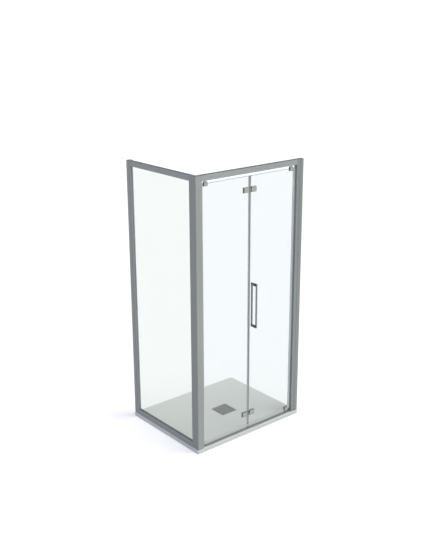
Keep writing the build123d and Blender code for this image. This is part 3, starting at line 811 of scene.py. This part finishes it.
@dataclass
class SubAssembly:
    """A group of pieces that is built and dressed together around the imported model."""

    frame: dict[str, Any]
    nodes: dict[str, Piece] = field(init=False)
    body_of: dict[str, str] = field(init=False)
    slot_of: dict[str, str] = field(init=False)

    def __post_init__(self) -> None:
        """Looks up the body and the material slot of every node."""
        record = self.frame["record"]
        bodies = record["behaviour"]["bodies"]
        self.nodes = self.frame["nodes"]
        self.body_of = {member: body for body, members in bodies.items() for member in members}
        self.slot_of = {part["node"]: part["material_slot"] for part in record["subparts"]}

    def dress(self, finish: Finish, *names: str) -> None:
        """Gives a finish to pieces that keep their CAD shape.

        Args:
            finish: The finish.
            *names: The nodes.
        """
        for name in names:
            for slot in self.nodes[name].material_slots:
                slot.material = finish.material()
            log.info("%s: %s dressed in %s", type(self).__name__, name, finish.name)

    def stand_in(self, piece: Piece, finish: Finish, *names: str) -> None:
        """Lets a new piece stand for CAD nodes of one body.

        Args:
            piece: The new piece.
            finish: Its finish.
            *names: The nodes that it stands for.
        """
        if not piece.data.materials:
            piece.data.materials.append(finish.material())
        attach(piece, self.body_of[names[0]])
        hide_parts(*names)
        faces = len(piece.data.polygons)
        log.info("%s: %s made, %d faces, in %s", type(self).__name__, piece.name, faces, finish.name)

    def build(self) -> None:
        """Builds and dresses the group."""
        raise NotImplementedError


@dataclass
class TrayAndWaste(SubAssembly):
    """The tray and the lift-off cover of its waste."""

    cover_corner: float = 1.6 * MM
    corner_steps: int = 6
    cover_round: float = 1.2 * MM
    round_steps: int = 4
    cover_thickness: float = 4.0 * MM
    foot: float = 12.0 * MM
    foot_inset: float = 6.0 * MM
    foot_round: float = 1.5 * MM

    def build(self) -> None:
        """Dresses the tray and makes the cover."""
        self.dress(TRAY_RESIN, "shower_tray")
        self.stand_in(self.cover(), DRAIN_STEEL, "drain_cover")

    def cover(self) -> Piece:
        """A plate with softened upper edges on four feet.

        Returns:
            The cover.
        """
        low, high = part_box("drain_cover")
        under = high.z - self.cover_thickness
        levels = [(0.0, under)]
        for step in range(self.round_steps + 1):
            turn = QUARTER_TURN * step / self.round_steps
            inset, drop = (self.cover_round * (1 - part) for part in (math.cos(turn), math.sin(turn)))
            levels.append((inset, high.z - drop))
        shape = Shape()
        rings = []
        for inset, height in levels:
            inward = Vector((inset, inset, 0.0))
            corners = rectangle(low + inward, high - inward, self.cover_corner)
            rings.append(shape.ring(rounded(corners, self.corner_steps), Axis.Z, height))
        shape.tube(rings)
        side = Vector((self.foot, self.foot, 0.0))
        far = self.foot_inset + self.foot
        for x in (low.x + self.foot_inset, high.x - far):
            for y in (low.y + self.foot_inset, high.y - far):
                start = Vector((x, y, 0.0))
                shape.prism(rounded(rectangle(start, start + side, self.foot_round)), Axis.Z, low.z, under)
        return shape.finish("drain_cover_plate")


@dataclass
class FrameProfiles(SubAssembly):
    """Posts, rails, jambs and wall channels, with their caps, blocks and gaskets."""

    def build(self) -> None:
        """Dresses every profile with its die lines along its length."""
        self.dress(POST_ALUMINIUM, "corner_post")
        self.dress(aluminium(Axis.Z), "side_jamb_profile", "side_wall_channel")
        self.dress(SHADED_WALL_ALUMINIUM, "door_jamb_profile", "door_wall_channel")
        self.dress(aluminium(Axis.X), "header_rail")
        self.dress(SHADED_SILL_ALUMINIUM, "threshold_strip")
        self.dress(aluminium(Axis.Y), "side_top_rail", "side_bottom_rail")
        self.dress(END_CAP, "post_cap", "door_jamb_cap", "side_jamb_cap")
        self.dress(NYLON, "rail_end_blocks", "header_end_blocks", "top_pivot_bearing",
                   "bottom_pivot_bush", "guide_slider")
        self.dress(GASKET_RUBBER, "outer_glazing_gasket", "inner_glazing_gasket")


@dataclass
class Glazing(SubAssembly):
    """The three panes."""

    def build(self) -> None:
        """Dresses the panes."""
        self.dress(SIDE_GLASS, "side_glass")
        door = replace(DOOR_GLASS, top=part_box("pivot_leaf_glass")[1].z)
        self.dress(door, "pivot_leaf_glass", "sliding_leaf_glass")


@dataclass(frozen=True)
class ScrewSize:
    """A screw's sizes, and whether its head stands proud of its node's box."""

    head_radius: float
    head_height: float
    shank_radius: float
    proud: bool = False


@dataclass
class DoorHardware(SubAssembly):
    """Clamps, hinges, pins and the screws that hold them."""

    glass_screw: ScrewSize = ScrewSize(4.5 * MM, 2.4 * MM, 2.5 * MM)
    lock_screw: ScrewSize = ScrewSize(4.0 * MM, 2.2 * MM, 2.0 * MM)
    handle_screw: ScrewSize = ScrewSize(3.0 * MM, 0.8 * MM, 3.0 * MM, proud=True)
    screw_tree: ScrewTree = field(init=False)

    def build(self) -> None:
        """Dresses the clamps and hinges and makes the screws."""
        for clamp in ("top_pivot_clamp", "bottom_pivot_clamp", "guide_clamp"):
            self.dress(HARDWARE, clamp, clamp + "_plate")
        for leaf in ("pivot", "sliding"):
            self.dress(HARDWARE, f"upper_hinge_{leaf}_plate", f"lower_hinge_{leaf}_plate",
                       f"{leaf}_hinge_backplates")
        self.dress(SCREW_STEEL, "top_pivot_pin", "bottom_pivot_pin", "guide_pin", "upper_hinge_pin",
                   "lower_hinge_pin")
        self.screw_tree = ScrewTree()
        for name in ("pivot_clamp_screws", "guide_clamp_screws", "pivot_hinge_screws",
                     "sliding_hinge_screws"):
            self.screws(name, Axis.Y, self.glass_screw)
        self.screws("door_lock_screws", Axis.Y, self.lock_screw)
        self.screws("side_lock_screws", Axis.X, self.lock_screw)
        self.screws("handle_screws", Axis.Y, self.handle_screw)

    def screws(self, name: str, axis: Axis, size: ScrewSize) -> None:
        """Makes the screws of one node, with their heads on the inner side.

        Args:
            name: The node that they stand for.
            axis: The axis that the heads look along.
            size: Their sizes.
        """
        boxes = solid_boxes(self.nodes[name])
        sunk = 0.0 if size.proud else size.head_height
        points = []
        for low, high in boxes:
            seat = (low + high) / 2
            seat[axis.value] = high[axis.value] - sunk
            points.append(seat)
        low, high = boxes[0]
        made = self.screw_tree.make(
            name + "_set", points, SCREW_STEEL, Head_Radius=size.head_radius, Head_Height=size.head_height,
            Shank_Radius=size.shank_radius, Shank_Length=high[axis.value] - low[axis.value] - sunk,
            Direction=tuple(axis.vector), Seed=len(points)
        )
        self.stand_in(made, SCREW_STEEL, name)


@dataclass
class PullHandle(SubAssembly):
    """The handle on both sides of the pivot leaf."""

    post_height: float = 19.0 * MM
    soft_edge: float = 1.4 * MM
    soft_steps: int = 3
    sharp: float = 40.0
    washer_hole: float = 3.1 * MM

    def build(self) -> None:
        """Makes the grip, the inner bar and the washers."""
        self.grip()
        self.inner_bar()
        self.washers()

    def grip(self) -> None:
        """Makes the outer grip: an upright bar on two posts, cut in one piece."""
        low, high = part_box("handle_grip")
        inside = low.y + (high.x - low.x)
        bottom, top = low.z + self.post_height, high.z - self.post_height
        outline = [(low.y, low.z), (high.y, low.z), (high.y, bottom), (inside, bottom),
                   (inside, top), (high.y, top), (high.y, high.z), (low.y, high.z)]
        self.flat("handle_grip_bar", outline, GRIP_STEEL, "handle_grip")

    def inner_bar(self) -> None:
        """Makes the plain bar on the inner side."""
        low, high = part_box("handle_inner_bar")
        outline = [(low.y, low.z), (high.y, low.z), (high.y, high.z), (low.y, high.z)]
        self.flat("handle_inner_rod", outline, SHADED_INNER_STEEL, "handle_inner_bar")

    def washers(self) -> None:
        """Makes the washers between the handle and the glass."""
        boxes = solid_boxes(self.nodes["handle_washers"])
        middles = [(low + high) / 2 for low, high in boxes]
        size = boxes[0][1] - boxes[0][0]
        made = WasherTree().make(
            "handle_washer_set", middles, GASKET_RUBBER, Outer_Radius=size.x / 2,
            Hole_Radius=self.washer_hole, Thickness=size.y, Direction=tuple(Axis.Y.vector)
        )
        self.stand_in(made, GASKET_RUBBER, "handle_washers")

    def flat(self, name: str, outline: Outline, finish: Finish, node: str) -> None:
        """Makes a bar cut from plate, with softened edges.

        Args:
            name: The piece's name.
            outline: Its outline, seen along the door.
            finish: Its finish.
            node: The node that it stands for.
        """
        low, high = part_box(node)
        shape = Shape()
        shape.prism(outline, Axis.X, low.x, high.x)
        made = shape.finish(name, self.sharp)
        bevel = made.modifiers.new("soft_edges", "BEVEL")
        bevel.width = self.soft_edge
        bevel.segments = self.soft_steps
        bevel.limit_method = "ANGLE"
        bevel.angle_limit = math.radians(self.sharp)
        self.stand_in(made, finish, node)


@dataclass
class DoorSeals(SubAssembly):
    """The extruded seals on the leaves and the post."""

    tip: float = 0.5 * MM
    nose: float = 1.8 * MM
    core_inset: float = 0.4 * MM
    clear_web: float = 2.6 * MM
    hinge_gap: float = 0.5 * MM
    fin_share: float = 0.55
    fin_bend_share: float = 0.55
    fin_root_share: float = 2.2
    fin_sweep_share: float = 4.0
    strike_base_share: float = 0.3
    drip_taper_share: float = 0.4
    drip_side_share: float = 2.0
    drip_shoulder_share: float = 0.9
    drip_fin_share: float = 0.4
    drip_root_share: float = 0.6
    drip_tip_share: float = 0.6

    def build(self) -> None:
        """Makes every seal."""
        self.jamb_edge()
        self.closing_edge()
        self.strike()
        self.fold("pivot", 1.0)
        self.fold("sliding", -1.0)
        self.drip("pivot")
        self.drip("sliding")

    def strip(self, name: str, corners: Sequence[Corner], axis: Axis = Axis.Z) -> None:
        """Makes a clear seal with one outline from end to end.

        Args:
            name: The node that it stands for.
            corners: The outline's corners.
            axis: The axis that it runs along.
        """
        low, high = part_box(name)
        shape = Shape()
        shape.prism(rounded(corners), axis, low[axis.value], high[axis.value])
        finish = UPRIGHT_SEAL if axis is Axis.Z else LEVEL_SEAL
        self.stand_in(shape.finish(name + "_strip"), finish, name)

    def jamb_edge(self) -> None:
        """Makes a channel over the pivot leaf's edge with a curved fin towards the jamb."""
        low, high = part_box("jamb_edge_seal")
        glass_low, glass_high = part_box("pivot_leaf_glass")
        front, back, edge = glass_low.y, glass_high.y, glass_high.x
        web = edge + (front - low.y)
        bend = web + (high.x - web) * self.fin_bend_share
        slim = (front - low.y) * self.fin_share
        root, sweep = low.y + self.fin_root_share * slim, self.fin_sweep_share * slim
        corners = [
            (low.x, low.y + slim, self.tip), (low.x + 2 * slim, low.y, 0.0), (web, low.y, slim),
            (bend, low.y + slim, sweep), (high.x, low.y, 0.0), (high.x, low.y + slim, 0.0),
            (bend, root, sweep), (web, root, slim / 2), (web, high.y, self.tip),
            (low.x + 2 * slim, high.y, 0.0), (low.x, high.y - slim, self.tip),
            (low.x, back, 0.0), (edge, back, 0.0), (edge, front, 0.0), (low.x, front, 0.0),
        ]
        self.strip("jamb_edge_seal", corners)

    def closing_edge(self) -> None:
        """Makes a channel over the sliding leaf's edge with a soft bulb towards the post."""
        low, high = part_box("closing_edge_seal")
        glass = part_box("sliding_leaf_glass")[0]
        neck = glass.x - (glass.y - low.y)
        half = [
            (glass.x, glass.y, 0.0), (high.x, glass.y, 0.0), (high.x, low.y, self.tip),
            (neck, low.y, self.tip), (neck - self.tip, glass.y, 0.0), (low.x, glass.y - self.tip, self.nose),
        ]
        self.strip("closing_edge_seal", mirrored(half, (low.y + high.y) / 2))

    def strike(self) -> None:
        """Makes a strip on the post with a rounded nose where the closing edge stops."""
        low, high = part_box("strike_seal")
        base = low.x + (high.x - low.x) * self.strike_base_share
        half = [(low.x, low.y, 0.0), (base, low.y, self.tip), (high.x, low.y + self.tip, self.nose)]
        self.strip("strike_seal", mirrored(half, (low.y + high.y) / 2))

    def fold(self, leaf: str, side: float) -> None:
        """Makes a leaf's fold seal: clear legs over the glass and a grey rounded core in the gap.

        Args:
            leaf: The leaf's name.
            side: 1 if the leaf is right of the fold, and -1 if it is left of it.
        """
        name = f"{leaf}_fold_seal"
        low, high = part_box(name)
        glass_low, glass_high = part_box(f"{leaf}_leaf_glass")
        edge, meeting, leg = (glass_low.x, low.x, high.x) if side > 0 else (glass_high.x, high.x, low.x)
        neck = edge - side * (glass_low.y - low.y)
        joint = edge - side * self.clear_web
        front, middle = glass_low.y + self.core_inset, (low.y + high.y) / 2
        core = rounded(mirrored([(joint, front, 0.0), (meeting, front, self.nose)], middle))
        web = rounded(mirrored([(edge, front, 0.0), (joint, front, 0.0)], middle))
        half = [
            (edge, glass_low.y, 0.0), (leg, glass_low.y, 0.0), (leg, low.y, self.tip),
            (neck, low.y, self.tip), (neck, front, 0.0), (joint, front, 0.0),
        ]
        legs = rounded(mirrored(half, middle))
        shape = Shape()
        level = low.z
        for hinge in ("lower", "upper"):
            plate_low, plate_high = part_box(f"{hinge}_hinge_{leaf}_plate")
            notch_low, notch_high = plate_low.z - self.hinge_gap, plate_high.z + self.hinge_gap
            shape.prism(legs, Axis.Z, level, notch_low, slot=1)
            shape.prism(web, Axis.Z, notch_low, notch_high, slot=1)
            level = notch_high
        shape.prism(legs, Axis.Z, level, high.z, slot=1)
        shape.prism(core, Axis.Z, low.z, high.z)
        made = shape.finish(name + "_strip")
        for finish in (FOLD_SEAL, UPRIGHT_SEAL):
            made.data.materials.append(finish.material())
        self.stand_in(made, FOLD_SEAL, name)

    def drip(self, leaf: str) -> None:
        """Makes the seal under a leaf: tapered legs over the glass and a fin in the middle.

        Args:
            leaf: The leaf's name.
        """
        name = f"{leaf}_drip_seal"
        low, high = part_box(name)
        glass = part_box(f"{leaf}_leaf_glass")[0]
        leg = glass.y - low.y
        floor = glass.z - leg
        middle = (low.y + high.y) / 2
        fin = leg * self.drip_fin_share
        half = [
            (glass.y, glass.z, 0.0), (glass.y, high.z, 0.0),
            (low.y + leg * self.drip_taper_share, high.z, self.tip / 2),
            (low.y, high.z - self.drip_side_share * leg, 0.0),
            (low.y, floor, leg * self.drip_shoulder_share),
            (middle - fin, floor, leg * self.drip_root_share),
            (middle - fin * self.drip_tip_share, low.z, 0.0),
        ]
        self.strip(name, mirrored(half, middle, place=0), Axis.X)


@dataclass(frozen=True)
class Viewpoint:
    """Where the camera stands and how it looks, worked out from the picture's straight edges."""

    place: Triple = (-3.849, -4.622, 3.121)
    yaw: float = 39.642
    pitch: float = 18.004
    roll: float = -0.294
    focal_pixels: float = 846.2
    frame_height: int = 547
    sensor: float = 36.0
    reach: float = 200.0

    def make(self) -> None:
        """Makes the camera and gives it to the scene."""
        yaw, pitch, roll = (math.radians(angle) for angle in (self.yaw, self.pitch, self.roll))
        level = Euler((QUARTER_TURN - pitch, 0.0, -yaw)).to_matrix()
        turn = (level @ Matrix.Rotation(roll, 3, "Z")).to_4x4()
        data = bpy.data.cameras.new("viewpoint")
        data.sensor_width = self.sensor
        data.lens = self.focal_pixels * self.sensor / self.frame_height
        data.clip_end = self.reach
        camera = linked("viewpoint", data)
        camera.matrix_world = Matrix.Translation(self.place) @ turn
        bpy.context.scene.camera = camera


@dataclass(frozen=True)
class Lamp:
    """A soft distant lamp: where its light comes from, its strength, width and tint."""

    name: str
    toward: Triple
    strength: float
    width: float
    tint: Colour = (255, 255, 255)

    def make(self) -> None:
        """Makes the lamp."""
        data = bpy.data.lights.new(self.name, "SUN")
        data.energy = self.strength
        data.angle = math.radians(self.width)
        data.color = linear(self.tint)[:3]
        lamp = linked(self.name, data)
        lamp.rotation_euler = Vector(self.toward).to_track_quat("Z", "Y").to_euler()


@dataclass(frozen=True)
class Studio:
    """A pale floor under an even sky and two soft lamps."""

    floor_reach: float = 60.0
    horizon: float = 0.6
    zenith: float = 0.36
    horizon_span: Span = (0.0, 0.5)
    shown: float = 1.12
    cool_side: Light = (1.08, 1.14, 1.56, 1.0)
    warm_side: Light = (1.03, 1.03, 0.93, 1.0)
    side_span: Span = (-0.8, 0.8)
    lamps: tuple[Lamp, ...] = (
        Lamp("overhead_lamp", toward=(0.12, -0.26, 0.958), strength=2.17, width=30.0),
        Lamp("front_lamp", toward=(0.606, -0.732, 0.38), strength=0.36, width=40.0, tint=(255, 255, 246)),
    )

    def make(self) -> None:
        """Makes the floor, the sky and the lamps."""
        self.floor()
        self.sky()
        for lamp in self.lamps:
            lamp.make()

    def floor(self) -> None:
        """Makes a wide level floor."""
        reach = self.floor_reach
        mesh = bpy.data.meshes.new("studio_floor")
        mesh.from_pydata([(-reach, -reach, 0), (reach, -reach, 0), (reach, reach, 0), (-reach, reach, 0)],
                         [], [(0, 1, 2, 3)])
        mesh.materials.append(STUDIO_FLOOR.material())
        linked("studio_floor", mesh)

    def sky(self) -> None:
        """Makes an even sky: white where it is looked at, and softer where it lights the part."""
        world = bpy.data.worlds.new("studio_sky")
        world.use_nodes = True
        bench = NodeBench(world.node_tree)
        way = bench.parts(bench.own("Generated"))
        height = bench.spread(way[Axis.Z.value], self.horizon_span, (self.horizon, self.zenith))
        tint = bench.mix(bench.spread(way[Axis.X.value], self.side_span), self.cool_side, self.warm_side)
        light = bench.socket("ShaderNodeBackground", {"Color": tint, "Strength": height})
        white = {"Color": (1.0, 1.0, 1.0, 1.0), "Strength": self.shown}
        plain = bench.socket("ShaderNodeBackground", white)
        both = bench.mix_shaders(bench.rays(LOOKING_RAYS), light, plain)
        bench.node("ShaderNodeOutputWorld", {"Surface": both})
        bpy.context.scene.world = world


def main() -> None:
    """Builds the enclosure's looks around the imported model."""
    logging.basicConfig(level=logging.INFO, format="%(message)s")
    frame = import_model()
    bpy.context.scene.view_settings.view_transform = "Standard"
    Viewpoint().make()
    Studio().make()
    groups = (TrayAndWaste, FrameProfiles, Glazing, DoorHardware, PullHandle, DoorSeals)
    for group in groups:
        group(frame).build()


if __name__ == "__main__":
    main()
